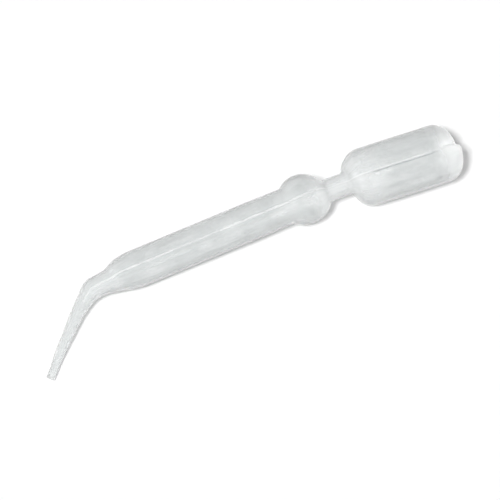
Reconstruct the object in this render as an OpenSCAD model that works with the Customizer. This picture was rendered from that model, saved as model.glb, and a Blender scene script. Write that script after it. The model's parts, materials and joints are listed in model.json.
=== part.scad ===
// Plastic dropper pipette, blow-moulded in one piece: squeeze bulb, neck, ball, barrel and bent tip.
// It lies on a table as it comes to rest: on the bulb, the barrel's shoulder and the tip.
// Lengths are in millimetres and angles in degrees. +Z is up and the barrel runs along +X.

/* [Bulb] */
// Outside diameter of the squeeze bulb
bulb_d = 16; // [14.5:0.5:18]
// Length of the bulb, from the bend in the neck to its far end
bulb_len = 35.2; // [28:0.1:48]
// Radius of the rounded shoulder between the neck and the bulb
bulb_shoulder_r = 5.6; // [4.8:0.1:6.2]
// Radius of the rounded corner at the bulb's far end
bulb_corner_r = 5; // [3.5:0.1:6]
// Radius of the shallow dome that closes the bulb
bulb_dome_r = 12; // [11:0.5:16]

/* [Pinched end] */
// How much further one lobe of the bulb's end reaches than the other
pinch_step = 1; // [0.2:0.1:1.2]
// Offset of the pinch line from the bulb's centre plane
pinch_offset = 0.4; // [0.3:0.1:1.2]
// Depth of the pinch groove below the shorter lobe
pinch_depth = 0.6; // [0.3:0.05:0.8]
// Angle between the two flanks of the pinch groove
pinch_angle = 70; // [50:5:90]
// Extra plastic below the pinch groove
pinch_weld = 0.5; // [0.4:0.05:0.8]
// Thickness of the plastic beside the pinch groove
pinch_wall = 1.2; // [0.9:0.1:1.6]

/* [Neck and ball] */
// Outside diameter of the neck between the ball and the bulb
neck_d = 6.3; // [5.4:0.1:7]
// Straight length of the neck between the ball and the bend
neck_len = 2.2; // [1:0.1:4]
// Straight length of the neck between the bend and the bulb
waist_len = 2.2; // [1:0.1:4]
// Angle by which the bulb sags out of line with the neck
neck_bend = 5; // [1:0.5:8]
// Outside diameter of the hollow ball
ball_d = 13.6; // [12.5:0.1:15.5]

/* [Barrel] */
// Outside diameter of the barrel
barrel_d = 10.3; // [9.5:0.1:11]
// Outside diameter of the barrel where it meets the ball
barrel_end_d = 10; // [9:0.1:10.3]
// Length over which the barrel narrows towards the ball
barrel_taper_len = 12; // [6:0.5:20]
// Distance from the tip's bend to the centre of the ball
barrel_len = 62.8; // [50:0.1:90]
// Steepest angle of the shoulder between the tip's root and the barrel
shoulder_angle = 21.5; // [18:0.5:26]

/* [Tip] */
// Angle by which the tip is bent away from the barrel's axis
tip_bend = 44; // [30:1:60]
// Outside diameter of the rounded elbow at the tip's bend
elbow_d = 5.4; // [5:0.1:5.8]
// Outside diameter of the collar between the elbow and the shoulder
collar_d = 6.2; // [6:0.1:6.6]
// Distance from the tip's bend to the collar
collar_len = 4.9; // [4.4:0.1:7]
// Radius of the hollow corner between the collar and the shoulder
collar_fillet_r = 4.2; // [3:0.1:6]
// Distance from the tip's bend to its open end
tip_len = 26.3; // [22:0.1:40]
// Length of the straight end of the tip
tip_land_len = 3.2; // [2:0.1:5]
// Outside diameter of the straight end of the tip
tip_d = 2.1; // [1.9:0.05:2.3]
// Bore of the straight end of the tip
tip_bore_d = 1.2; // [0.9:0.05:1.3]
// Angle at which the tip first narrows, next to its bend
tip_root_angle = 12; // [11:0.5:15]
// Half angle of the tip's long taper
tip_taper_angle = 2; // [1.5:0.1:2.2]

/* [Wall and parting line] */
// Thickness of the moulded wall
wall = 0.6; // [0.45:0.05:0.7]
// Width of the raised parting line
seam_w = 0.4; // [0.3:0.05:0.6]
// Height of the raised parting line
seam_h = 0.08; // [0.04:0.01:0.1]
// Radius of the hollow corner between the barrel and the ball
ball_fillet_r = 0.7; // [0.4:0.1:1.2]
// Radius of the hollow corners at both ends of the neck
neck_fillet_r = 1.4; // [0.8:0.1:2]

/* [Hidden] */
$fn = 96;
plastic = [0.87, 0.885, 0.878, 0.8];

// The two parts of a bend meet inside a ball whose radius is this much larger than theirs, and the
// barrel's side of each bend runs this far past the ball's centre.
knuckle_step = 0.05;
knuckle_lap = 0.35;
// The neck is this much slimmer beyond its bend.
waist_step = 0.04;
// The bulb's end is made in two lobes, from this far behind its rounded corner.
lobe_back = 1;
// The pinch groove runs out this far behind the same corner.
groove_back = 1;
// The dome is flat from its middle out to this angle.
dome_flat_angle = 2;
// Cuts run this far past the surface that they open.
open_past = 1;
// Largest angle between two neighbouring points of an arc
arc_step = 5;

bulb_r = bulb_d / 2;
ball_r = ball_d / 2;
neck_r = neck_d / 2;
barrel_r = barrel_d / 2;
barrel_end_r = barrel_end_d / 2;
collar_r = collar_d / 2;
elbow_r = elbow_d / 2;
root_r = elbow_r - knuckle_step;
tip_r = tip_d / 2;
tip_bore_r = tip_bore_d / 2;

function leg(long_side, short_side) = sqrt(pow(long_side, 2) - pow(short_side, 2));
function unit(angle) = [cos(angle), sin(angle)];
function arc(centre, radius, from, to) =
    let (steps = max(2, ceil(abs(to - from) / arc_step)))
    [for (k = [0:steps]) centre + radius * unit(from + (to - from) * k / steps)];

// Root cone, hollow fillet and rounded shoulder between the elbow and the barrel.
root_angle = atan2(collar_r - root_r, collar_len);
collar_centre = [collar_len, collar_r] + collar_fillet_r * unit(90 + root_angle);
shoulder_start = collar_centre + collar_fillet_r * unit(shoulder_angle - 90);
shoulder_r = (barrel_r - shoulder_start[1]) / (1 - cos(shoulder_angle));
shoulder_x = shoulder_start[0] + shoulder_r * sin(shoulder_angle);

// Centres of the hollow corners on both sides of the ball, and the neck's bend.
ball_x = barrel_len;
barrel_corner = [ball_x - leg(ball_r + ball_fillet_r, barrel_end_r + ball_fillet_r), barrel_end_r + ball_fillet_r];
neck_corner = [ball_x + leg(ball_r + neck_fillet_r, neck_r + neck_fillet_r), neck_r + neck_fillet_r];
neck_x = neck_corner[0] + neck_len;

// Centres of the bulb's hollow corner, shoulder, end corner and dome, measured from the neck's bend.
knuckle_r = neck_r + knuckle_step;
waist_r = neck_r - waist_step;
waist_corner = [waist_len, waist_r + neck_fillet_r];
bulb_shoulder_y = bulb_r - bulb_shoulder_r;
bulb_shoulder_x = waist_corner[0] + leg(bulb_shoulder_r + neck_fillet_r, waist_corner[1] - bulb_shoulder_y);
bulb_corner_y = bulb_r - bulb_corner_r;
dome_back = leg(bulb_dome_r - bulb_corner_r, bulb_corner_y);
corner_start = bulb_len - pinch_step - bulb_dome_r + dome_back;
dome_start = corner_start - lobe_back;

// Each outline is a list of [distance along the axis, radius].
// An inset moves it inwards along its normal: hollow corners grow by the inset and round ones shrink.
function barrel_outline(inset) = concat(
    [[-knuckle_lap, root_r - knuckle_lap * tan(root_angle) - inset]],
    arc(collar_centre, collar_fillet_r + inset, root_angle - 90, shoulder_angle - 90),
    arc([shoulder_x, barrel_r - shoulder_r], shoulder_r - inset, 90 + shoulder_angle, 90),
    [[barrel_corner[0] - barrel_taper_len, barrel_r - inset]],
    ball_outline(inset),
    [[neck_x + knuckle_lap, neck_r - inset]]
);

function ball_outline(inset) =
    let (
        barrel_side = atan2(barrel_corner[1], barrel_corner[0] - ball_x),
        neck_side = atan2(neck_corner[1], neck_corner[0] - ball_x)
    )
    concat(
        arc(barrel_corner, ball_fillet_r + inset, -90, barrel_side - 180),
        arc([ball_x, 0], ball_r - inset, barrel_side, neck_side),
        arc(neck_corner, neck_fillet_r + inset, neck_side + 180, 270)
    );

function bulb_outline(inset) =
    let (side = atan2(waist_corner[1] - bulb_shoulder_y, waist_corner[0] - bulb_shoulder_x))
    concat(
        [[-knuckle_lap, waist_r - inset]],
        arc(waist_corner, neck_fillet_r + inset, -90, side - 180),
        arc([bulb_shoulder_x, bulb_shoulder_y], bulb_shoulder_r - inset, side, 90),
        [[dome_start, bulb_r - inset]]
    );

function dome_outline(inset, end) =
    let (
        centre = end - bulb_dome_r,
        side = atan2(bulb_corner_y, dome_back)
    )
    concat(
        [[dome_start, bulb_r - inset]],
        arc([centre + dome_back, bulb_corner_y], bulb_corner_r - inset, 90, side),
        arc([centre, 0], bulb_dome_r - inset, side, dome_flat_angle)
    );

// The tip narrows along a wide hollow arc, then along a straight taper, and ends in a straight land.
function tip_outline(start_r, end_r, end) =
    let (
        land_start = tip_len - tip_land_len,
        taper = tan(tip_taper_angle),
        drop = cos(tip_taper_angle) - cos(tip_root_angle),
        run = sin(tip_root_angle) - sin(tip_taper_angle),
        radius = (start_r - end_r - land_start * taper) / (drop - run * taper),
        centre = [0, start_r] + radius * unit(90 - tip_root_angle)
    )
    concat(
        arc(centre, radius, -90 - tip_root_angle, -90 - tip_taper_angle),
        [[land_start, end_r], [end, end_r]]
    );

module turned(outline) {
    first = outline[0];
    last = outline[len(outline) - 1];
    rotate([0, 90, 0])
        rotate_extrude()
            polygon(concat([[0, first[0]]], [for (p = outline) [p[1], p[0]]], [[0, last[0]]]));
}

// Thin upright plate with the outline's shape: what stands proud of the tube is the parting line.
module fin(outline) {
    last = len(outline) - 1;
    rotate([90, 0, 0])
        linear_extrude(seam_w, center = true)
            polygon(concat(outline, [for (k = [last:-1:0]) [outline[k][0], -outline[k][1]]]));
}

// Ball in the corner of a bend, with its poles inside the tube.
module knuckle(radius) {
    rotate([0, 90, 0]) sphere(radius);
}

module at_tip() {
    rotate([0, 0, 180 + tip_bend]) children();
}

module at_bulb() {
    translate([neck_x, 0, 0]) rotate([0, 0, -neck_bend]) children();
}

// The part of the bulb's end that lies on one side of the plane y = split.
module lobe(inset, end, split, side) {
    intersection() {
        turned(dome_outline(inset, end));
        translate([dome_start - open_past, split, -bulb_d])
            mirror([0, side < 0 ? 1 : 0, 0])
                cube([bulb_len, bulb_d, 2 * bulb_d]);
    }
}

// The groove is a V swept along an arc, deepest at the end and running out on the bulb's side.
module pinch_groove() {
    bottom = bulb_len - pinch_step - pinch_depth;
    sagitta = bottom - corner_start + groove_back;
    radius = (pow(bulb_r, 2) + pow(sagitta, 2)) / (2 * sagitta);
    mouth = pinch_depth + pinch_step + open_past;
    translate([bottom - radius, pinch_offset, 0])
        rotate([90, 90, 0])
            rotate_extrude(angle = 180)
                polygon([
                    [radius, 0],
                    [radius + mouth, -mouth * tan(pinch_angle / 2)],
                    [radius + mouth, mouth * tan(pinch_angle / 2)]
                ]);
}

module outside() {
    turned(barrel_outline(0));
    knuckle(elbow_r);
    at_tip() turned(tip_outline(root_r, tip_r, tip_len));
    at_bulb() {
        knuckle(knuckle_r);
        turned(bulb_outline(0));
        lobe(0, bulb_len, pinch_offset, -1);
        lobe(0, bulb_len - pinch_step, pinch_offset, 1);
    }
}

module parting_line() {
    fin(barrel_outline(-seam_h));
    at_tip() fin(tip_outline(root_r + seam_h, tip_r + seam_h, tip_len));
    at_bulb() fin(bulb_outline(-seam_h));
}

module hollow() {
    lobe_end = bulb_len - pinch_step - pinch_weld;
    turned(barrel_outline(wall));
    knuckle(elbow_r - wall);
    at_tip() turned(tip_outline(root_r - wall, tip_bore_r, tip_len + open_past));
    at_bulb() {
        knuckle(knuckle_r - wall);
        turned(bulb_outline(wall));
        lobe(wall, bulb_len, pinch_offset - pinch_wall, -1);
        lobe(wall, lobe_end, pinch_offset - pinch_wall, 1);
    }
}

// Each support is a ring round an axis in the plane z = 0: [centre, axis, radius, radius of its blend].
tip_dir = unit(180 + tip_bend);
bulb_dir = unit(-neck_bend);
bulb_support = [[neck_x, 0] + bulb_shoulder_x * bulb_dir, bulb_dir, bulb_r, bulb_shoulder_r];
barrel_support = [[shoulder_x, 0], [1, 0], barrel_r, shoulder_r];
tip_support = [tip_len * tip_dir, tip_dir, tip_r, 0];
ball_support = [[ball_x, 0], [1, 0], ball_r, ball_r];

// How far a ring, or the parting line on it, reaches below its centre when up points to the sky.
function reach(support, up) =
    let (
        flat_r = support[2] - support[3],
        along = up[0] * support[1][0] + up[1] * support[1][1],
        across = abs(up[0] * support[1][1] - up[1] * support[1][0]),
        ring = flat_r * leg(1, along) + support[3],
        ridge = flat_r * up[2] + (support[3] + seam_h) * leg(1, across) + seam_w / 2 * across
    )
    max(ring, ridge);

function reaches(up) = [for (s = [bulb_support, barrel_support, tip_support]) reach(s, up)];

// The upward direction that puts the three supports at one height, given how far each reaches down.
function level(down) =
    let (
        a = bulb_support[0] - barrel_support[0],
        b = tip_support[0] - barrel_support[0],
        rise_a = down[0] - down[1],
        rise_b = down[2] - down[1],
        area = a[0] * b[1] - a[1] * b[0],
        x = (rise_a * b[1] - a[1] * rise_b) / area,
        y = (a[0] * rise_b - rise_a * b[0]) / area
    )
    [x, y, sqrt(1 - x * x - y * y)];

rest_up = level(reaches(level(reaches([0, 0, 1]))));
roll = atan2(rest_up[1], rest_up[2]);
pitch = -asin(rest_up[0]);

// Where a point or direction of the plane z = 0 goes when the pipette is rolled and pitched.
function laid(p) = [
    p[0] * cos(pitch) + p[1] * sin(roll) * sin(pitch),
    p[1] * cos(roll),
    p[1] * sin(roll) * cos(pitch) - p[0] * sin(pitch)
];

// The origin is below the middle of the box that holds the pipette at rest. The far end of that box
// is the longer lobe's crest, where the pinch groove meets the dome.
crest_y = pinch_offset - (pinch_step + pinch_depth) * tan(pinch_angle / 2);
crest_len = bulb_len - bulb_dome_r + leg(bulb_dome_r, crest_y);
crest = [neck_x, 0] + crest_len * bulb_dir + crest_y * [-bulb_dir[1], bulb_dir[0]];
high_x = laid(crest)[0];
low_x = laid(tip_support[0])[0] - tip_r * leg(1, laid(tip_dir)[0]);
high_y = max(
    laid(bulb_support[0])[1] + bulb_shoulder_y * leg(1, laid(bulb_dir)[1]) + bulb_shoulder_r,
    laid(ball_support[0])[1] + ball_r
);
low_y = laid(tip_support[0])[1] - tip_r * leg(1, laid(tip_dir)[1]);
lift = max([
    for (s = [bulb_support, barrel_support, tip_support, ball_support])
        reach(s, rest_up) - laid(s[0])[2]
]);

module pipette() {
    color(plastic)
        translate([-(high_x + low_x) / 2, -(high_y + low_y) / 2, lift])
            rotate([roll, pitch, 0])
                difference() {
                    union() {
                        outside();
                        parting_line();
                    }
                    hollow();
                    at_bulb() pinch_groove();
                }
}

pipette();
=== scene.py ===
"""Plastic dropper pipette: its blow-moulded skin, as a double-walled surface, and a plain studio.

The skin is worked out on a grid of stations along the pipette and columns round it. Lengths are in
metres and angles in radians, and the settings below are given in millimetres and degrees.
"""

import json
import math

import bpy
import numpy as np
from bpy.props import FloatProperty, PointerProperty, StringProperty
from mathutils import Matrix, Vector


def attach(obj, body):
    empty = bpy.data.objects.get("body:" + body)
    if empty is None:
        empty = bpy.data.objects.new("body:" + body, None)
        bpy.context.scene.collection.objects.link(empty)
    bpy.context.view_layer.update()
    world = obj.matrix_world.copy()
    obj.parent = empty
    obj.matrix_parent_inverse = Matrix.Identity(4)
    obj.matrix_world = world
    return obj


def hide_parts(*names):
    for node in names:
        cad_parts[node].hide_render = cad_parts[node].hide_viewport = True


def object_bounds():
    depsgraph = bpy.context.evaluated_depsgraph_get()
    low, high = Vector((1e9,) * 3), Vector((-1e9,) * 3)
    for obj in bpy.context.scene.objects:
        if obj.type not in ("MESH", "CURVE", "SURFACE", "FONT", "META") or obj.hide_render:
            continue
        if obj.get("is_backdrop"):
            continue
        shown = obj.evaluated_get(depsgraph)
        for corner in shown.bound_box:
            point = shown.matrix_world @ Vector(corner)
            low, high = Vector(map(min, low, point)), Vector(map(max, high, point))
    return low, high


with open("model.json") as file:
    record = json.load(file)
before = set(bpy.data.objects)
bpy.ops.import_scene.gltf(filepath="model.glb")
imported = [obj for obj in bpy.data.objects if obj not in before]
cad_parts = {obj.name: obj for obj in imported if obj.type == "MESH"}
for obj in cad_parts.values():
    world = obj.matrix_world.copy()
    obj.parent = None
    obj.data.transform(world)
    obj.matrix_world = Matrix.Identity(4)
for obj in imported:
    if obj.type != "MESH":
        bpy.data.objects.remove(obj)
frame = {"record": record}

bl_info = {
    "name": "Dropper Pipette",
    "version": (1, 0, 0),
    "blender": (4, 5, 0),
    "location": "View3D > Sidebar > Pipette",
    "description": "Blow-moulded dropper pipette with a squeeze bulb, a ball and a bent tip",
    "category": "Object",
}

MM = 0.001
NODE = "pipette"
MOUNT = "tip_land"
ATTRIBUTES = ("flow", "from_seam", "milky", "crease")

# Shortest normal that is still given a direction.
TINY = 1e-12
# Points that draw each arc, the barrel's taper and the middle line through the neck's bend.
ARC_POINTS = 48
TAPER_POINTS = 24
LINE_POINTS = 4000
# Spacing of the stations along the skin, and how far the outline turns between two of them.
STATION_STEP = 0.6 * MM
TIP_STEP = 0.5 * MM
STATION_TURN = math.radians(3.5)
# The inner face has one station for this many of the outer face.
INNER_EVERY = 2
# Columns in the band along each parting line, and in each side between the two bands.
BAND_COLUMNS = 24
SIDE_COLUMNS = 40
# Width of that band, its width at the pinched end, the length over which it widens, and the
# largest sine of the angle that half of it takes up.
BAND_W = 2.8 * MM
PINCH_BAND_W = 4.0 * MM
PINCH_BAND_RUN = 8 * MM
BAND_LIMIT = math.sin(math.radians(40))
# Stations of the bend at the tip, where it starts on the tip, and how closely its outer and its
# inner side keep to their corners.
BEND_STATIONS = 30
BEND_TIP_SIDE = 5.6 * MM
OUTER_WEIGHT = 7.0
INNER_WEIGHT = 1.7
# Half the length of the neck's bend, and the length over which the sections turn square after it.
NECK_BEND_RUN = 1.6 * MM
SECTION_TURN_RUN = 12 * MM
# Length over which the pinch and the crease begin, and width of the step between the two lobes.
CORNER_RUN = 2.5 * MM
STEP_W = 0.5 * MM
# Width of the weld on the inner face, in pinch widths, and the sine of the angle from which the
# crease has its full depth.
WELD_WIDTHS = 2
CREASE_FULL = 0.5
# Share of the parting line's ridge that is missing on the tip, and how far from the line the tip's
# plastic counts as lying, in seam widths.
TIP_SEAM_LOSS = 0.6
TIP_SEAM_AWAY = 0.6

# Where this pipette lies off its straight course: the tip's middle line towards the outer side of
# the bend, the barrel's and the bulb's middle line the same way, and the lean of the sections.
TIP_BOW_AT = np.array([4.0, 9.0, 19.0, 26.3]) * MM
TIP_BOW = np.array([-0.1, 0.23, 0.37, 0.14]) * MM
LIE_AT = np.array([0.0, 5.7, 9.0, 16.0, 52.0, 64.0, 71.0, 84.0, 110.0]) * MM
LIE = np.array([-0.3, -0.2, 0.2, 0.09, 0.09, 0.06, -0.28, -0.07, -0.07]) * MM
LEAN_AT = np.array([52.0, 62.8, 68.8, 74.8, 77.2, 110.0]) * MM
LEAN = np.radians([0.0, 3.0, 4.0, 7.0, 0.0, 0.0])
# How far the parting line strays from the middle of the bulb, towards the bend's outer side.
SEAM_AT = np.array([69.0, 84.0, 98.0, 110.0]) * MM
SEAM = np.array([0.0, -0.5, -0.5, 0.0]) * MM
# How milky the plastic is along the pipette: most at the tip's cut rim and the far end, some at the
# tip, the root, both sides of the ball and the neck, and hardly where the wall was blown wide.
MILKY_PROFILE = (
    (-26.3, 0.9),
    (-25.7, 0.25),
    (-6.0, 0.25),
    (3.0, 0.3),
    (14.0, 0.03),
    (52.0, 0.12),
    (57.5, 0.35),
    (61.0, 0.12),
    (66.5, 0.5),
    (75.0, 0.5),
    (81.0, 0.4),
    (88.0, 0.08),
    (97.0, 0.1),
    (103.6, 0.68),
    (107.0, 0.9),
)
MILKY_AT = np.array([at for at, _ in MILKY_PROFILE]) * MM
MILKY = np.array([value for _, value in MILKY_PROFILE])
# How much milkier it is along the weld, and how wide that is, in pinch widths.
WELD_MILKY = 0.4
WELD_CLOUD_WIDTHS = 6

# From the pipette to the camera: along the barrel, across it and out of the bend's plane. The
# camera sees this far.
CAMERA_WAY = (-0.188, -0.176, 0.966)
CAMERA_FAR = 10.0
# The lamps: name, where it stands, strength, spread in degrees and whether it throws a shadow.
LAMPS = (
    ("key", (-0.4, -0.2, 1), 2.36, 11, True),
    ("fill", (0.8, -0.3, 0.1), 1.7, 40, False),
    ("window", (-0.95, -0.1, 0.15), 0.7, 40, True),
)
# Light that the white room gives, the floor's lift, and how far the floor reaches each way.
ROOM_LIGHT = 0.2
FLOOR_LIFT = 0.06
FLOOR_REACH = 1.0


# ---------------------------------------------------------------------------------------------
# Settings


def length(name, description, mm):
    """A length property, given in millimetres and kept in metres."""
    return FloatProperty(
        name=name, description=description, default=mm * MM, min=0.0, unit="LENGTH", precision=5
    )


def angle(name, description, degrees):
    """An angle property, given in degrees and kept in radians."""
    return FloatProperty(
        name=name, description=description, default=math.radians(degrees), unit="ROTATION"
    )


def share(name, description, default):
    """A factor between 0 and 1."""
    return FloatProperty(name=name, description=description, default=default, min=0.0, max=1.0)


def hex_colour(name, description, default):
    """A colour, kept as an sRGB hex value."""
    return StringProperty(name=name, description=description, default=default)


class PipetteSizes(bpy.types.PropertyGroup):
    """Outer sizes of the pipette and of its wall."""

    bulb_r: length("Bulb radius", "Outside radius of the squeeze bulb", 7.93)
    bulb_len: length("Bulb length", "From the bend in the neck to the bulb's far end", 35.1)
    bulb_shoulder_r: length("Bulb shoulder", "Radius of the shoulder by the neck", 5.6)
    bulb_corner_r: length("Bulb corner", "Radius of the corner at the far end", 5.2)
    bulb_dome_r: length("Bulb dome", "Radius of the shallow dome that closes the bulb", 12.0)
    neck_r: length("Neck radius", "Outside radius of the neck", 3.08)
    neck_len: length("Neck length", "Straight neck between the ball and the bend", 2.45)
    waist_len: length("Waist length", "Straight neck between the bend and the bulb", 2.2)
    neck_fillet_r: length("Neck fillet", "Hollow corners at both ends of the neck", 1.4)
    neck_bend: angle("Neck bend", "Angle by which the bulb sags", 5.0)
    ball_r: length("Ball radius", "Outside radius of the hollow ball", 6.8)
    ball_land: length("Ball land", "Straight band round the ball's middle", 0.3)
    ball_fillet_r: length("Ball fillet", "Hollow corner between barrel and ball", 0.7)
    barrel_r: length("Barrel radius", "Outside radius of the barrel", 5.06)
    barrel_end_r: length("Barrel end", "Outside radius of the barrel at the ball", 4.95)
    barrel_taper_len: length("Barrel taper", "Length over which the barrel narrows", 12.0)
    barrel_len: length("Barrel length", "From the tip's bend to the ball's centre", 62.5)
    shoulder_angle: angle("Shoulder angle", "Steepest angle of the barrel's shoulder", 21.5)
    collar_r: length("Collar radius", "Outside radius of the collar", 3.1)
    collar_len: length("Collar length", "From the tip's bend to the collar", 4.9)
    collar_fillet_r: length("Collar fillet", "Hollow corner next to the collar", 4.2)
    root_r: length("Root radius", "Outside radius of the barrel's root at the bend", 2.8)
    tip_bend: angle("Tip bend", "Angle between the tip and the barrel's axis", 44.0)
    tip_root_r: length("Tip root radius", "Outside radius of the tip at the bend", 2.65)
    tip_len: length("Tip length", "From the bend to the open end", 26.3)
    tip_land_len: length("Tip land", "Length of the tip's straight end", 3.2)
    tip_r: length("Tip radius", "Outside radius of the straight end", 1.13)
    tip_wall: length("Tip wall", "Wall of the straight end", 0.45)
    tip_root_angle: angle("Tip root angle", "Angle at which the tip first narrows", 9.0)
    tip_taper_angle: angle("Tip taper", "Half angle of the tip's long taper", 2.4)
    wall: length("Wall", "Thickness of the moulded wall", 0.6)


class PipetteMarks(bpy.types.PropertyGroup):
    """The mould's parting line and the pinched weld at the bulb's end."""

    seam_w: length("Seam width", "Width of the raised parting line", 0.7)
    seam_h: length("Seam height", "Height of the raised parting line", 0.08)
    pinch_step: length("Pinch step", "How much further one lobe reaches", 1.1)
    pinch_offset: length("Pinch offset", "From the bulb's centre plane to the pinch", 0.1)
    pinch_depth: length("Pinch depth", "Depth of the pinch groove", 0.25)
    pinch_w: length("Pinch width", "Width of the pinch groove", 1.3)
    pinch_run: length("Pinch run", "Length of the groove along the bulb's top", 4.0)
    weld: length("Weld", "Extra plastic inside the pinch", 0.4)
    crease_w: length("Crease width", "Width of the fine crease beside the parting line", 0.95)
    crease_h: length("Crease depth", "Depth of that crease", 0.08)
    crease_offset: length("Crease offset", "From the parting line to the crease", 0.9)
    crease_start: length("Crease start", "From the neck's bend to the crease", 8.0)
    crease_end: length("Crease end", "From the neck's bend to the crease's end", 28.0)


class PipetteFinish(bpy.types.PropertyGroup):
    """Colours and surface of the moulded polyethylene, and the shade painted into the bulb's
    crease.
    """

    thin: hex_colour("Thin plastic", "Colour where the wall was blown thin", "#EBEDED")
    milky: hex_colour("Milky plastic", "Colour where the plastic stayed thick", "#FBFCFC")
    # Painted shade: a darker colour laid along the bulb's crease, where shade falls in the fold.
    crease_shade: hex_colour("Folded plastic", "Colour in the bulb's crease", "#CBCECE")
    depth: hex_colour("Depth tint", "Tint of light that runs a long way in the wall", "#BEC0C0")
    depth_len: length("Tint depth", "Length in the wall over which the tint builds up", 60.0)
    roughness: share("Roughness", "Roughness of the moulded skin", 0.2)
    thin_clear: share("Thin clear", "Share of light that a thin wall lets straight through", 0.98)
    milky_clear: share("Milky clear", "The same share where the plastic is milky", 0.45)
    bloom: share("Bloom", "Dull whitish sheen of the matt skin at a flat angle", 0.22)
    streak_w: length("Streak width", "Width of the die lines along the skin", 1.1)
    cloud_w: length("Cloud width", "Width of the cloudy patches", 5.0)
    grain_w: length("Grain width", "Width of the mould's grain", 0.5)
    streak_h: length("Streak height", "Height of the die lines", 0.004)


class PipetteStage(bpy.types.PropertyGroup):
    """Floor and camera."""

    floor: hex_colour("Floor", "Colour of the floor", "#FAFAFA")
    view_back: length("Camera distance", "From the camera to what it looks at", 3000.0)
    view_width: length("View width", "Width of what the camera sees", 131.8)
    view_slope: angle("View slope", "Slope of the barrel as the camera sees it", 22.6)
    aim_right: length("Aim right", "From the bend to the view's middle, to the right", 42.5)
    aim_up: length("Aim up", "From the bend to the view's middle, upwards", 10.24)
    aim_down: length("Aim depth", "From the bend to the view's middle, away from the camera", 10.0)


# ---------------------------------------------------------------------------------------------
# Curves


def unit(turn):
    """Direction at an angle in radians: [cos, sin] in the last axis."""
    return np.stack([np.cos(turn), np.sin(turn)], axis=-1)


def arc(centre, radius, start, end):
    """Points of a circle's arc: the centre plus the radius times the direction at even angles."""
    return np.asarray(centre) + radius * unit(np.linspace(start, end, ARC_POINTS))


def leg(long_side, short_side):
    """Third side of a right-angled triangle."""
    return math.sqrt(long_side**2 - short_side**2)


def ease(x, start, end):
    """Smoothstep: 0 before start, 1 after end, and 3t^2 - 2t^3 between them."""
    t = np.clip((x - start) / (end - start), 0, 1)
    return t * t * (3 - 2 * t)


def through(x, at, values):
    """Smooth curve through the values at the given places, level at each: smoothsteps joined."""
    k = np.clip(np.searchsorted(at, x) - 1, 0, len(at) - 2)
    return values[k] + (values[k + 1] - values[k]) * ease(x, at[k], at[k + 1])


def conic(start, corner, end, weight, t):
    """Rational quadratic curve from start to end, drawn towards the corner by its weight."""
    shares = np.stack([(1 - t) ** 2, 2 * weight * t * (1 - t), t**2], axis=-1)
    points = np.stack([start, corner, end])
    return shares @ points / shares.sum(-1, keepdims=True)


def crossing(start, start_way, end, end_way):
    """Where the line through start meets the line through end."""
    steps = np.linalg.solve(np.stack([start_way, -end_way], axis=-1), end - start)
    return start + steps[0] * start_way


def running(points):
    """Length along a polyline, from its first point to each point."""
    return np.concatenate([[0], np.cumsum(np.linalg.norm(np.diff(points, axis=0), axis=1))])


def stations(points, step, turn):
    """The polyline resampled: one point for each step of length and for each turn of heading."""
    steps = np.diff(points, axis=0)
    heading = np.unwrap(np.arctan2(steps[:, 1], steps[:, 0]))
    turned = np.concatenate([[0], np.cumsum(np.abs(np.diff(heading))), [0]])
    turned[-1] = turned[-2]
    weight = running(points) / step + turned / turn
    even = np.linspace(0, weight[-1], int(weight[-1]) + 1)
    return np.stack([np.interp(even, weight, points[:, k]) for k in range(2)], axis=-1)


# ---------------------------------------------------------------------------------------------
# The pipette's outline


def neck_bend_at(p):
    """Distance of the neck's bend from the tip's bend."""
    return p.barrel_len + leg(p.ball_r + p.neck_fillet_r, p.neck_r + p.neck_fillet_r) + p.neck_len


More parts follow.
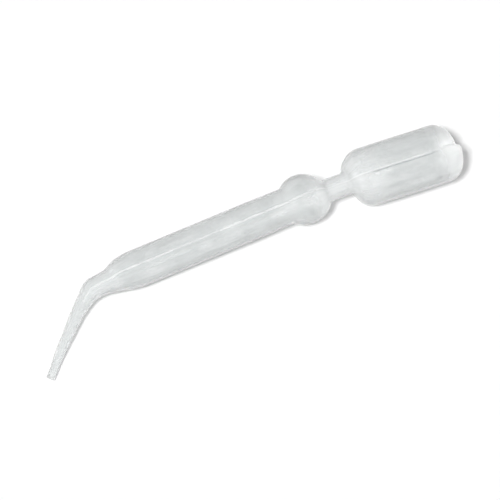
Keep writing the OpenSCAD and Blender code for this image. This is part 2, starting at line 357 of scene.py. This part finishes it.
def barrel_side(p):
    """Outline from the collar to the bulb, as [distance along the axis, radius].

    Arcs and straight lines that meet along their tangents: the collar's hollow corner, the
    barrel's shoulder, the barrel, its taper, the ball between two hollow corners, the neck, the
    bulb's hollow corner and its shoulder.
    """
    root_angle = math.atan2(p.collar_r - p.root_r, p.collar_len)
    quarter = math.pi / 2
    collar = np.array([p.collar_len, p.collar_r])
    collar_centre = collar + p.collar_fillet_r * unit(quarter + root_angle)
    rise = collar_centre + p.collar_fillet_r * unit(p.shoulder_angle - quarter)
    shoulder_r = (p.barrel_r - rise[1]) / (1 - math.cos(p.shoulder_angle))
    shoulder_x = rise[0] + shoulder_r * math.sin(p.shoulder_angle)
    shoulder_centre = [shoulder_x, p.barrel_r - shoulder_r]

    near = p.barrel_len - p.ball_land / 2
    far = p.barrel_len + p.ball_land / 2
    ball_corner = np.array(
        [
            near - leg(p.ball_r + p.ball_fillet_r, p.barrel_end_r + p.ball_fillet_r),
            p.barrel_end_r + p.ball_fillet_r,
        ]
    )
    neck_corner = np.array(
        [
            far + leg(p.ball_r + p.neck_fillet_r, p.neck_r + p.neck_fillet_r),
            p.neck_r + p.neck_fillet_r,
        ]
    )
    ball_start = math.atan2(ball_corner[1], ball_corner[0] - near)
    ball_end = math.atan2(neck_corner[1], neck_corner[0] - far)

    waist = neck_bend_at(p) + p.waist_len
    bulb_corner = np.array([waist, p.neck_r + p.neck_fillet_r])
    shoulder_y = p.bulb_r - p.bulb_shoulder_r
    bulb_shoulder = np.array(
        [
            waist + leg(p.bulb_shoulder_r + p.neck_fillet_r, bulb_corner[1] - shoulder_y),
            shoulder_y,
        ]
    )
    bulb_start = math.atan2(bulb_corner[1] - shoulder_y, bulb_corner[0] - bulb_shoulder[0])

    taper_x = np.linspace(ball_corner[0] - p.barrel_taper_len, ball_corner[0], TAPER_POINTS)
    taper = p.barrel_r + (p.barrel_end_r - p.barrel_r) * ease(taper_x, taper_x[0], taper_x[-1])
    return np.concatenate(
        [
            arc(collar_centre, p.collar_fillet_r, root_angle - quarter, p.shoulder_angle - quarter),
            arc(shoulder_centre, shoulder_r, quarter + p.shoulder_angle, quarter)[1:],
            np.stack([taper_x, taper], axis=-1),
            arc(ball_corner, p.ball_fillet_r, -quarter, ball_start - math.pi)[1:],
            arc([near, 0], p.ball_r, ball_start, quarter)[1:],
            arc([far, 0], p.ball_r, quarter, ball_end),
            arc(neck_corner, p.neck_fillet_r, ball_end - math.pi, -quarter)[1:],
            arc(bulb_corner, p.neck_fillet_r, -quarter, bulb_start - math.pi),
            arc(bulb_shoulder, p.bulb_shoulder_r, bulb_start, quarter)[1:],
        ]
    )


def bulb_end(p):
    """Outline of the bulb's far end, from the corner to the middle of the dome.

    A corner arc and a shallow dome arc that meet along their tangent.
    """
    dome_x = neck_bend_at(p) + p.bulb_len - p.bulb_dome_r
    corner_y = p.bulb_r - p.bulb_corner_r
    dome_back = leg(p.bulb_dome_r - p.bulb_corner_r, corner_y)
    side = math.atan2(corner_y, dome_back)
    return np.concatenate(
        [
            arc([dome_x + dome_back, corner_y], p.bulb_corner_r, math.pi / 2, side),
            arc([dome_x, 0], p.bulb_dome_r, side, 0)[1:],
        ]
    )


def tip_side(p):
    """Outline of the tip: a wide hollow arc, a long straight taper and a straight land."""
    land_start = p.tip_len - p.tip_land_len
    taper = math.tan(p.tip_taper_angle)
    drop = math.cos(p.tip_taper_angle) - math.cos(p.tip_root_angle)
    run = math.sin(p.tip_root_angle) - math.sin(p.tip_taper_angle)
    radius = (p.tip_root_r - p.tip_r - land_start * taper) / (drop - run * taper)
    centre = np.array([0, p.tip_root_r]) + radius * unit(math.pi / 2 - p.tip_root_angle)
    hollow = arc(centre, radius, -math.pi / 2 - p.tip_root_angle, -math.pi / 2 - p.tip_taper_angle)
    return np.concatenate([hollow, [[land_start, p.tip_r], [p.tip_len, p.tip_r]]])


# ---------------------------------------------------------------------------------------------
# The pipette's skin


class Rows:
    """Stations of the skin, from the open tip to the bulb's end.

    Each has a middle and a half width in the bend's plane, a half height across it, its distance
    from the bend along the pipette, and the thickness of the wall.
    """

    def __init__(self, middle, half, height, along, wall):
        self.middle, self.half, self.height = middle, half, height
        self.along, self.wall = along, wall

    def joined(self, other):
        """These stations followed by the other ones."""
        pairs = zip(vars(self).values(), vars(other).values())
        return Rows(*[np.concatenate(pair) for pair in pairs])

    def part(self, wanted):
        """The stations in a slice."""
        return Rows(*[value[wanted] for value in vars(self).values()])


def tip_rows(p):
    """Stations of the straight tip, from its open end to the bend."""
    outline = stations(tip_side(p), TIP_STEP, STATION_TURN)[::-1]
    outline = outline[outline[:, 0] > BEND_TIP_SIDE]
    way, side = unit(math.pi + p.tip_bend), unit(math.pi / 2 + p.tip_bend)
    s, r = outline[:, 0], outline[:, 1]
    wall = p.wall + (p.tip_wall - p.wall) * ease(s, BEND_TIP_SIDE, p.tip_len - p.tip_land_len)
    bow = through(s, TIP_BOW_AT, TIP_BOW)
    return Rows(s[:, None] * way + bow[:, None] * side, r[:, None] * side, r, -s, wall)


def barrel_rows(p):
    """Stations of the barrel, ball, neck and bulb.

    The middle line turns by the sag within the neck, and lies a little off its straight course
    where this pipette was bent. The sections lean at the ball and most at the neck's end, stand
    square to the barrel at the bulb's shoulder, and turn square to the bulb after it.
    """
    outline = stations(np.concatenate([barrel_side(p), bulb_end(p)]), STATION_STEP, STATION_TURN)
    x, r = outline[:, 0], outline[:, 1]
    bend = neck_bend_at(p)
    even = np.linspace(x[0], x[-1], LINE_POINTS)
    heading = -p.neck_bend * ease(even, bend - NECK_BEND_RUN, bend + NECK_BEND_RUN)
    line = np.array([even[0], 0]) + np.cumsum(unit(heading), axis=0) * (even[1] - even[0])
    middle = np.stack([np.interp(x, even, line[:, k]) for k in range(2)], axis=-1)
    middle[:, 1] += through(x, LIE_AT, LIE)
    shoulder_end = bend + p.waist_len + p.bulb_shoulder_r
    turn = math.pi / 2 - p.neck_bend * ease(x, shoulder_end, shoulder_end + SECTION_TURN_RUN)
    turn = turn + through(x, LEAN_AT, LEAN)
    return Rows(middle, r[:, None] * unit(turn), r, x, np.full_like(x, p.wall))


def bend_rows(tip, barrel, p):
    """Stations of the bend between the tip and the root.

    The outer and the inner side are two conics between the tangents of the parts they join. The
    outer one keeps close to its corner, and the inner one is wide.
    """
    t = np.linspace(0, 1, BEND_STATIONS + 2)
    sides = []
    for side, weight in ((1, OUTER_WEIGHT), (-1, INNER_WEIGHT)):
        before = tip.middle[-2:] + side * tip.half[-2:]
        after = barrel.middle[:2] + side * barrel.half[:2]
        corner = crossing(before[1], before[1] - before[0], after[0], after[0] - after[1])
        sides.append(conic(before[1], corner, after[0], weight, t)[1:-1])
    middle = (sides[0] + sides[1]) / 2
    line = running(np.concatenate([tip.middle[-1:], middle, barrel.middle[:1]]))
    part = line[1:-1] / line[-1]
    height = tip.height[-1] + (barrel.height[0] - tip.height[-1]) * part
    along = tip.along[-1] + (barrel.along[0] - tip.along[-1]) * part
    return Rows(middle, (sides[0] - sides[1]) / 2, height, along, np.full_like(part, p.wall))


def columns(rows, p):
    """Angle of each column at each station: close together at the parting lines, wide between.

    The close columns cover a band of constant width, which widens to hold the pinch groove.
    """
    end = rows.along[-1]
    band = BAND_W + (PINCH_BAND_W - BAND_W) * ease(rows.along, end - PINCH_BAND_RUN, end)
    half = np.arcsin(np.clip(band / 2 / np.maximum(rows.height, band / 2), 0, BAND_LIMIT))
    close = np.linspace(-1, 1, BAND_COLUMNS, endpoint=False)
    wide = np.linspace(0, 1, SIDE_COLUMNS, endpoint=False)
    top = math.pi / 2 + half[:, None] * close
    left = math.pi / 2 + half[:, None] + (math.pi - 2 * half[:, None]) * wide
    return np.concatenate([top, left, top + math.pi, left + math.pi], axis=1)


def round_grid(rows, turn):
    """Points of the skin: middle + half width * cos(angle), and height * sin(angle) across."""
    plane = rows.middle[:, None, :] + rows.half[:, None, :] * np.cos(turn)[..., None]
    return np.concatenate([plane, (rows.height[:, None] * np.sin(turn))[..., None]], axis=-1)


def outward(points):
    """Outward unit normals of a grid: the cross product of its steps round and along it."""
    along = np.gradient(points, axis=0)
    around = np.roll(points, -1, axis=1) - np.roll(points, 1, axis=1)
    normal = np.cross(around, along)
    return normal / np.maximum(np.linalg.norm(normal, axis=-1, keepdims=True), TINY)


def hump(x, width):
    """Smooth hump of height 1: (1 + cos) / 2 within the width, and 0 outside it."""
    return (1 + np.cos(math.pi * np.clip(2 * np.abs(x) / width, 0, 1))) / 2


def from_parting(rows, lateral):
    """Distance from the parting line, which strays a little on the bulb."""
    return lateral - through(rows.along, SEAM_AT, SEAM)[:, None]


def crease_share(rows, lateral, turn, p, marks):
    """How deep the bulb's crease is at each point: 1 along its middle, easing to 0 at its ends.

    It runs beside the upper parting line, so it is 0 where the sine of the angle is below 0.
    """
    start = neck_bend_at(p) + marks.crease_start
    end = neck_bend_at(p) + marks.crease_end
    along = ease(rows.along, start, start + CORNER_RUN) - ease(rows.along, end - CORNER_RUN, end)
    upper = ease(np.sin(turn), 0, CREASE_FULL)
    return along[:, None] * upper * hump(lateral + marks.crease_offset, marks.crease_w)


def skin(rows, p, marks, inside):
    """Points of the outer or the inner face of the wall, without the pole at the bulb's end.

    The outer face adds the parting line's ridge, the pinch groove and the crease along its
    normals. The inner face lies a wall further in, and deeper behind the pinch. On both, the one
    lobe ends a step short of the other.
    """
    turn = columns(rows, p)
    points = round_grid(rows, turn)
    normal = outward(points)
    lateral = np.linalg.norm(rows.half, axis=1)[:, None] * np.cos(turn)
    end = neck_bend_at(p) + p.bulb_len
    corner = end - p.bulb_corner_r
    from_pinch = lateral - marks.pinch_offset
    near_end = ease(rows.along, corner - marks.pinch_run, corner + CORNER_RUN)[:, None]
    if inside:
        weld = marks.weld * hump(from_pinch, WELD_WIDTHS * marks.pinch_w) * near_end
        points = points - normal * (rows.wall[:, None] + weld)[..., None]
    else:
        faint = 1 - TIP_SEAM_LOSS * ease(-rows.along, 0, 2 * p.collar_len)[:, None]
        ridge = marks.seam_h * hump(from_parting(rows, lateral), marks.seam_w)
        ridge = ridge * (1 - near_end) * faint
        groove = marks.pinch_depth * hump(from_pinch, marks.pinch_w) * near_end
        crease = marks.crease_h * crease_share(rows, lateral, turn, p, marks)
        points = points + normal * (ridge - groove - crease)[..., None]
    back = marks.pinch_step * ease(from_pinch, -STEP_W / 2, STEP_W / 2)
    back = back * ease(rows.along, corner - CORNER_RUN, corner + CORNER_RUN)[:, None]
    bulb_way = np.append(unit(-p.neck_bend), 0)
    return points - bulb_way * back[..., None]


def plastic_marks(rows, p, marks):
    """What the plastic's patterns read at each point of the skin.

    flow is the distance along and a place on a circle of the barrel's radius, so that streaks run
    from end to end. from_seam is the distance from the parting line, with some added on the tip,
    where the line is faint. milky is higher where the plastic was hardly blown, and at the weld.
    crease is 1 along the bulb's crease, where the material paints shade into the colour.
    """
    turn = columns(rows, p)
    to_tip = ease(-rows.along, -p.collar_len, 2 * p.collar_len)
    flow_r = p.barrel_r + (2 * p.tip_r - p.barrel_r) * to_tip
    round_it = flow_r[:, None, None] * unit(turn)
    along = np.broadcast_to(rows.along[:, None, None], (*turn.shape, 1))
    lateral = np.linalg.norm(rows.half, axis=1)[:, None] * np.cos(turn)
    corner = neck_bend_at(p) + p.bulb_len - p.bulb_corner_r
    at_weld = ease(rows.along, corner - marks.pinch_run, corner + CORNER_RUN)[:, None]
    from_pinch = lateral - marks.pinch_offset
    at_weld = WELD_MILKY * at_weld * hump(from_pinch, WELD_CLOUD_WIDTHS * marks.pinch_w)
    milky = through(rows.along, MILKY_AT, MILKY)[:, None] + at_weld
    crease = crease_share(rows, lateral, turn, p, marks)
    away = TIP_SEAM_AWAY * marks.seam_w * to_tip[:, None]
    from_seam = np.hypot(from_parting(rows, lateral), away)
    return np.concatenate([along, round_it], axis=-1), from_seam, milky, crease


def closed_shell(outer, inner):
    """Vertices and faces of the wall: outer face, inner face, two end caps and the cut rim.

    All are smooth but the rim, which is cut off square.
    """
    count = outer.shape[1]
    outer_count, inner_count = outer.shape[0] * count, inner.shape[0] * count
    poles = [outer[-1].mean(0), inner[-1].mean(0)]
    vertices = np.concatenate([outer.reshape(-1, 3), inner.reshape(-1, 3), poles])

    def ring(first, row):
        here = first + row * count + np.arange(count)
        return here, np.roll(here, -1)

    def band(first, rows):
        start = (first + np.arange(rows - 1) * count)[:, None]
        here = start + np.arange(count)
        there = start + np.roll(np.arange(count), -1)
        return np.stack([here, there, there + count, here + count], axis=-1).reshape(-1, 4)

    rim_outer, rim_outer_next = ring(0, 0)
    rim_inner, rim_inner_next = ring(outer_count, 0)
    cap_outer, cap_outer_next = ring(0, outer.shape[0] - 1)
    cap_inner, cap_inner_next = ring(outer_count, inner.shape[0] - 1)
    quads = np.concatenate(
        [
            band(0, outer.shape[0]),
            band(outer_count, inner.shape[0])[:, ::-1],
            np.stack([rim_outer_next, rim_outer, rim_inner, rim_inner_next], axis=-1),
        ]
    )
    smooth = np.ones(len(quads) + 2 * count, bool)
    smooth[len(quads) - count : len(quads)] = False
    pole = outer_count + inner_count
    triangles = np.concatenate(
        [
            np.stack([cap_outer, cap_outer_next, np.full(count, pole)], axis=-1),
            np.stack([cap_inner_next, cap_inner, np.full(count, pole + 1)], axis=-1),
        ]
    )
    return vertices, quads, triangles, smooth


def mesh_object(name, vertices, quads, triangles, smooth):
    """A mesh object at the origin, filled with foreach_set."""
    mesh = bpy.data.meshes.new(name)
    corners = np.concatenate([quads.ravel(), triangles.ravel()]).astype(np.int32)
    sizes = np.concatenate([np.full(len(quads), 4), np.full(len(triangles), 3)])
    mesh.vertices.add(len(vertices))
    mesh.vertices.foreach_set("co", vertices.astype(np.float32).ravel())
    mesh.loops.add(len(corners))
    mesh.loops.foreach_set("vertex_index", corners)
    mesh.polygons.add(len(sizes))
    starts = np.concatenate([[0], np.cumsum(sizes)[:-1]]).astype(np.int32)
    mesh.polygons.foreach_set("loop_start", starts)
    mesh.polygons.foreach_set("use_smooth", smooth)
    mesh.update(calc_edges=True)
    mesh.validate()
    piece = bpy.data.objects.new(name, mesh)
    bpy.context.scene.collection.objects.link(piece)
    return piece


def resting(p):
    """Rotation and place of the pipette at rest, from where its tip points in the frame.

    The pipette is rolled about its barrel and then pitched. The tip's direction gives both turns:
    the roll shortens its sideways part, and the pitch turns the rest in the upright plane.
    """
    mount = next(m for m in frame["record"]["mounts"] if m["name"] == MOUNT)
    axis, place = np.array(mount["axis"]), np.array(mount["pos_m"])
    tip_way = unit(math.pi + p.tip_bend)
    roll = math.acos(min(axis[1] / tip_way[1], 1))
    sunk = tip_way[1] * math.sin(roll)
    pitch = math.atan2(sunk, tip_way[0]) - math.atan2(axis[2], axis[0])
    turn = np.array(Matrix.Rotation(pitch, 3, "Y") @ Matrix.Rotation(roll, 3, "X"))
    land_middle = np.append((p.tip_len - p.tip_land_len / 2) * tip_way, 0)
    return turn, place - turn @ land_middle


def build_pipette(p, marks):
    """The pipette's skin as one closed mesh, at rest in the frame."""
    tip, barrel = tip_rows(p), barrel_rows(p)
    # The last station is the middle of the dome, which closed_shell gives each face as a pole.
    rows = tip.joined(bend_rows(tip, barrel, p)).joined(barrel).part(slice(None, -1))
    inner_rows = rows.part(slice(None, None, INNER_EVERY))
    outer = skin(rows, p, marks, inside=False)
    inner = skin(inner_rows, p, marks, inside=True)
    vertices, *faces = closed_shell(outer, inner)
    turn, place = resting(p)
    piece = mesh_object("pipette_skin", vertices @ turn.T + place, *faces)
    sides = zip(plastic_marks(rows, p, marks), plastic_marks(inner_rows, p, marks))
    for name, (outside, within) in zip(ATTRIBUTES, sides):
        vector = outside.ndim == 3
        poles = np.stack([outside[-1].mean(0), within[-1].mean(0)])
        flat = [side.reshape(-1, 3) if vector else side.ravel() for side in (outside, within)]
        values = np.concatenate([*flat, poles]).astype(np.float32)
        attribute = piece.data.attributes.new(name, "FLOAT_VECTOR" if vector else "FLOAT", "POINT")
        attribute.data.foreach_set("vector" if vector else "value", values.ravel())
    return piece


# ---------------------------------------------------------------------------------------------
# Materials


def linear(hex_value):
    """An sRGB hex value as linear RGBA, by the two parts of the standard's curve."""
    srgb = np.array([int(hex_value[k : k + 2], 16) for k in (1, 3, 5)]) / 255
    rgb = np.where(srgb <= 0.04045, srgb / 12.92, ((srgb + 0.055) / 1.055) ** 2.4)
    return (*rgb.tolist(), 1.0)


def add_node(tree, kind, settings=None, links=None):
    """Adds a node. settings go to its sockets or attributes, and links feed its input sockets.

    A socket is named by its name or its number. A Mix node's two inputs are 2 and 3 for plain
    values and 6 and 7 for colours, and its results are 0 and 2.
    """
    node = tree.nodes.new(kind)
    for key, value in (settings or {}).items():
        if isinstance(key, str) and hasattr(node, key):
            setattr(node, key, value)
        else:
            node.inputs[key].default_value = value
    for key, source in (links or {}).items():
        tree.links.new(source, node.inputs[key])
    return node


# Low-density polyethylene's index of refraction.
IOR = 1.51
# Scale of the streaks along the pipette against their scale round it.
STREAK_STRETCH = 0.03
# Share of the clouds against the streaks, the part of their noise that shows, and the milkiness
# that its two ends add.
CLOUD_SHARE = 0.55
NOISE_LOW, NOISE_HIGH = 0.42, 0.68
LESS_MILKY, MORE_MILKY = -0.2, 0.6
# The milkiness from which on the patches are faintest, and how much of them is left there.
CALM_FROM = 0.5
CALM_SHARE = 0.15
# Milkiness of the parting line.
SEAM_MILKY = 0.6
# How far the roughness goes either way with the clouds, the grain's height against the streaks',
# and the roughness of the bloom.
ROUGHNESS_SPREAD = 0.1
GRAIN_SHARE = 0.35
BLOOM_ROUGHNESS = 0.3
# Share of the lamps' light that passes a wall seen square on.
LAMP_SHARE = 0.85


def moulded_polyethylene(finish, marks):
    """Natural low-density polyethylene, blow-moulded: nearly colourless, cloudy and satin.

    Where the wall was blown wide it is thin and lets most light through. At the neck, the tip, the
    parting line and the weld it stayed thick, and there it is milky. The die that it was pressed
    through left faint streaks from end to end, and the mould's fine texture makes the skin satin,
    so what lies behind it shows blurred. The edges look darker, because there the view runs a long
    way through the wall.
    """
    material = bpy.data.materials.new("blow_moulded_polyethylene")
    material.use_nodes = True
    tree = material.node_tree
    tree.nodes.clear()

    flow, seam, unblown, crease = [
        add_node(tree, "ShaderNodeAttribute", {"attribute_name": name}) for name in ATTRIBUTES
    ]
    place = add_node(tree, "ShaderNodeTexCoord").outputs["Object"]
    # The real die lines and grain are too fine to show, so both are drawn coarser.
    stretched = add_node(
        tree,
        "ShaderNodeMapping",
        {"Scale": (STREAK_STRETCH, 1, 1)},
        {"Vector": flow.outputs["Vector"]},
    )
    streaks = add_node(
        tree,
        "ShaderNodeTexNoise",
        {"Scale": 1 / finish.streak_w, "Detail": 2.0, "Roughness": 0.6},
        {"Vector": stretched.outputs["Vector"]},
    ).outputs["Fac"]
    clouds = add_node(
        tree,
        "ShaderNodeTexNoise",
        {"Scale": 1 / finish.cloud_w, "Detail": 3.0, "Roughness": 0.65},
        {"Vector": place},
    ).outputs["Fac"]
    grain = add_node(
        tree,
        "ShaderNodeTexNoise",
        {"Scale": 1 / finish.grain_w, "Detail": 0.0},
        {"Vector": place},
    ).outputs["Fac"]
    uneven = add_node(
        tree, "ShaderNodeMix", {"data_type": "FLOAT", 0: CLOUD_SHARE}, {2: streaks, 3: clouds}
    )
    varied = add_node(
        tree,
        "ShaderNodeMapRange",
        {
            "From Min": NOISE_LOW,
            "From Max": NOISE_HIGH,
            "To Min": LESS_MILKY,
            "To Max": MORE_MILKY,
        },
        {"Value": uneven.outputs[0]},
    )
    calmer = add_node(
        tree,
        "ShaderNodeMapRange",
        {"From Max": CALM_FROM, "To Min": 1.0, "To Max": CALM_SHARE},
        {"Value": unblown.outputs["Fac"]},
    )
    mottled = add_node(
        tree,
        "ShaderNodeMath",
        {"operation": "MULTIPLY"},
        {0: varied.outputs["Result"], 1: calmer.outputs["Result"]},
    )
    beside_seam = add_node(
        tree, "ShaderNodeMath", {"operation": "ABSOLUTE"}, {0: seam.outputs["Fac"]}
    )
    on_seam = add_node(
        tree,
        "ShaderNodeMapRange",
        {
            "interpolation_type": "SMOOTHSTEP",
            "From Max": marks.seam_w,
            "To Min": SEAM_MILKY,
            "To Max": 0.0,
        },
        {"Value": beside_seam.outputs["Value"]},
    )
    thickest = add_node(
        tree,
        "ShaderNodeMath",
        {"operation": "MAXIMUM"},
        {0: unblown.outputs["Fac"], 1: on_seam.outputs["Result"]},
    )
    milky = add_node(
        tree,
        "ShaderNodeMath",
        {"operation": "ADD", "use_clamp": True},
        {0: thickest.outputs["Value"], 1: mottled.outputs["Value"]},
    ).outputs["Value"]
    unshaded = add_node(
        tree,
        "ShaderNodeMix",
        {"data_type": "RGBA", 6: linear(finish.thin), 7: linear(finish.milky)},
        {0: milky},
    )
    # Painted shade: the crease attribute darkens the colour along the bulb's crease, where shade
    # falls in the fold.
    colour = add_node(
        tree,
        "ShaderNodeMix",
        {"data_type": "RGBA", 7: linear(finish.crease_shade)},
        {0: crease.outputs["Fac"], 6: unshaded.outputs[2]},
    )
    clear = add_node(
        tree,
        "ShaderNodeMapRange",
        {"To Min": finish.thin_clear, "To Max": finish.milky_clear},
        {"Value": milky},
    )
    satin = add_node(
        tree,
        "ShaderNodeMapRange",
        {
            "To Min": finish.roughness - ROUGHNESS_SPREAD,
            "To Max": finish.roughness + ROUGHNESS_SPREAD,
        },
        {"Value": clouds},
    )
    rises = add_node(
        tree,
        "ShaderNodeMath",
        {"operation": "MULTIPLY_ADD", 1: GRAIN_SHARE},
        {0: grain, 2: streaks},
    )
    bump = add_node(
        tree,
        "ShaderNodeBump",
        {"Strength": 1.0, "Distance": finish.streak_h},
        {"Height": rises.outputs["Value"]},
    )
    body = add_node(
        tree,
        "ShaderNodeBsdfPrincipled",
        {"IOR": IOR, "Sheen Weight": finish.bloom, "Sheen Roughness": BLOOM_ROUGHNESS},
        {
            "Base Color": colour.outputs[2],
            "Roughness": satin.outputs["Result"],
            "Transmission Weight": clear.outputs["Result"],
            "Normal": bump.outputs["Normal"],
        },
    )
    facing = add_node(tree, "ShaderNodeLayerWeight", {"Blend": 0.5})
    passed = add_node(
        tree,
        "ShaderNodeMapRange",
        {"To Min": LAMP_SHARE, "To Max": 0.0},
        {"Value": facing.outputs["Facing"]},
    )
    lamps = add_node(tree, "ShaderNodeBsdfTransparent", links={"Color": passed.outputs["Result"]})
    ray = add_node(tree, "ShaderNodeLightPath")
    mix = add_node(
        tree,
        "ShaderNodeMixShader",
        links={0: ray.outputs["Is Shadow Ray"], 1: body.outputs["BSDF"], 2: lamps.outputs["BSDF"]},
    )
    depth = add_node(
        tree,
        "ShaderNodeVolumeAbsorption",
        {"Color": linear(finish.depth), "Density": 1 / finish.depth_len},
    )
    add_node(
        tree,
        "ShaderNodeOutputMaterial",
        links={"Surface": mix.outputs["Shader"], "Volume": depth.outputs["Volume"]},
    )
    return material


def seen_by(tree, *rays):
    """1 for the named kinds of ray and 0 for the others."""
    path = add_node(tree, "ShaderNodeLightPath")
    seen = path.outputs[rays[0]]
    for name in rays[1:]:
        links = {0: seen, 1: path.outputs[name]}
        seen = add_node(tree, "ShaderNodeMath", {"operation": "MAXIMUM"}, links).outputs["Value"]
    return seen


def painted_floor(colour, lift):
    """Matt white paint, with a small lift where it is seen, so that it reads as white.

    What mirrors it or shows it through is given the plain white background.
    """
    material = bpy.data.materials.new("matt_white_paint")
    material.use_nodes = True
    tree = material.node_tree
    tree.nodes.clear()
    paint = add_node(tree, "ShaderNodeBsdfDiffuse", {"Color": linear(colour)})
    strength = add_node(
        tree,
        "ShaderNodeMath",
        {"operation": "MULTIPLY", 1: lift},
        {0: seen_by(tree, "Is Camera Ray")},
    )
    glow = add_node(tree, "ShaderNodeEmission", links={"Strength": strength.outputs["Value"]})
    both = add_node(
        tree, "ShaderNodeAddShader", links={0: paint.outputs["BSDF"], 1: glow.outputs["Emission"]}
    )
    background = add_node(tree, "ShaderNodeEmission", {"Strength": 1.0})
    mix = add_node(
        tree,
        "ShaderNodeMixShader",
        links={
            0: seen_by(tree, "Is Glossy Ray", "Is Transmission Ray"),
            1: both.outputs["Shader"],
            2: background.outputs["Emission"],
        },
    )
    add_node(tree, "ShaderNodeOutputMaterial", links={"Surface": mix.outputs["Shader"]})
    return material


def studio_world(light):
    """A white room: it lights the object softly, and is plain white wherever it is seen."""
    world = bpy.data.worlds.new("white_room")
    world.use_nodes = True
    tree = world.node_tree
    tree.nodes.clear()
    seen = seen_by(tree, "Is Camera Ray", "Is Glossy Ray", "Is Transmission Ray")
    strength = add_node(
        tree, "ShaderNodeMapRange", {"To Min": light, "To Max": 1.0}, {"Value": seen}
    )
    sky = add_node(
        tree,
        "ShaderNodeBackground",
        {"Color": (1, 1, 1, 1)},
        {"Strength": strength.outputs["Result"]},
    )
    add_node(tree, "ShaderNodeOutputWorld", links={"Surface": sky.outputs["Background"]})
    return world


# ---------------------------------------------------------------------------------------------
# Stage


def add_sun(name, place, strength, spread, shadow):
    """A wide lamp far away in the direction of place.

    It has no mirror image and can't be seen through the plastic, where the white room shows.
    """
    data = bpy.data.lights.new(name, "SUN")
    data.energy = strength
    data.angle = math.radians(spread)
    data.use_shadow = shadow
    lamp = bpy.data.objects.new(name, data)
    lamp.rotation_euler = Vector(place).to_track_quat("Z", "Y").to_euler()
    lamp.visible_glossy = False
    lamp.visible_transmission = False
    bpy.context.scene.collection.objects.link(lamp)


def add_camera(stage, sizes):
    """Camera above the tip's side, turned so that the barrel climbs to the right in its view."""
    turn, bend = resting(sizes)
    back = turn @ np.array(CAMERA_WAY)
    back /= np.linalg.norm(back)
    barrel = turn[:, 0] - back * (turn[:, 0] @ back)
    barrel /= np.linalg.norm(barrel)
    across = np.cross(back, barrel)
    slope = stage.view_slope
    right = math.cos(slope) * barrel - math.sin(slope) * across
    up = math.sin(slope) * barrel + math.cos(slope) * across
    aim = bend + right * stage.aim_right + up * stage.aim_up - back * stage.aim_down
    data = bpy.data.cameras.new("camera")
    data.lens = data.sensor_width * stage.view_back / stage.view_width
    data.clip_end = CAMERA_FAR
    camera = bpy.data.objects.new("camera", data)
    pose = np.eye(4)
    pose[:3] = np.column_stack([right, up, back, aim + back * stage.view_back])
    camera.matrix_world = Matrix(pose.tolist())
    return camera


# ---------------------------------------------------------------------------------------------
# Operators


class PIPETTE_OT_skin(bpy.types.Operator):
    """Builds the pipette's skin and its plastic"""

    bl_idname = "pipette.skin"
    bl_label = "Build Pipette"

    def execute(self, context):
        scene = context.scene
        piece = build_pipette(scene.pipette_sizes, scene.pipette_marks)
        piece.data.materials.append(moulded_polyethylene(scene.pipette_finish, scene.pipette_marks))
        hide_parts(NODE)
        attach(piece, "root")
        return {"FINISHED"}


class PIPETTE_OT_stage(bpy.types.Operator):
    """Builds the floor, the light and the camera"""

    bl_idname = "pipette.stage"
    bl_label = "Build Stage"

    def execute(self, context):
        scene = context.scene
        stage = scene.pipette_stage
        low = min(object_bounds()[0].z, 0)
        corners = FLOOR_REACH * np.array([[-1, -1, 0], [1, -1, 0], [1, 1, 0], [-1, 1, 0]])
        corners[:, 2] = low
        floor = mesh_object("floor", corners, np.array([[0, 1, 2, 3]]), np.zeros((0, 3)), [False])
        floor.data.materials.append(painted_floor(stage.floor, FLOOR_LIFT))
        floor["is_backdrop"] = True
        scene.world = studio_world(ROOM_LIGHT)
        for lamp in LAMPS:
            add_sun(*lamp)
        camera = add_camera(stage, scene.pipette_sizes)
        scene.collection.objects.link(camera)
        scene.camera = camera
        scene.view_settings.view_transform = "Standard"
        return {"FINISHED"}


class PIPETTE_PT_panel(bpy.types.Panel):
    """Lists the pipette's operators and settings"""

    bl_label = "Dropper Pipette"
    bl_idname = "PIPETTE_PT_panel"
    bl_space_type = "VIEW_3D"
    bl_region_type = "UI"
    bl_category = "Pipette"

    def draw(self, context):
        layout = self.layout
        for operator in OPERATORS:
            layout.operator(operator.bl_idname)
        for name, group in SETTINGS.items():
            box = layout.box()
            for key in group.__annotations__:
                box.prop(getattr(context.scene, name), key)


SETTINGS = {
    "pipette_sizes": PipetteSizes,
    "pipette_marks": PipetteMarks,
    "pipette_finish": PipetteFinish,
    "pipette_stage": PipetteStage,
}
OPERATORS = (PIPETTE_OT_skin, PIPETTE_OT_stage)
CLASSES = (*SETTINGS.values(), *OPERATORS, PIPETTE_PT_panel)


def register():
    """Registers the classes and gives the scene their settings."""
    for item in CLASSES:
        bpy.utils.register_class(item)
    for name, group in SETTINGS.items():
        setattr(bpy.types.Scene, name, PointerProperty(type=group))


def unregister():
    """Takes the settings and the classes away again."""
    for name in SETTINGS:
        delattr(bpy.types.Scene, name)
    for item in reversed(CLASSES):
        bpy.utils.unregister_class(item)


def main():
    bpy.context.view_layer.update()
    register()
    bpy.ops.pipette.skin()
    bpy.ops.pipette.stage()
    bpy.context.view_layer.update()


if __name__ == "__main__":
    main()
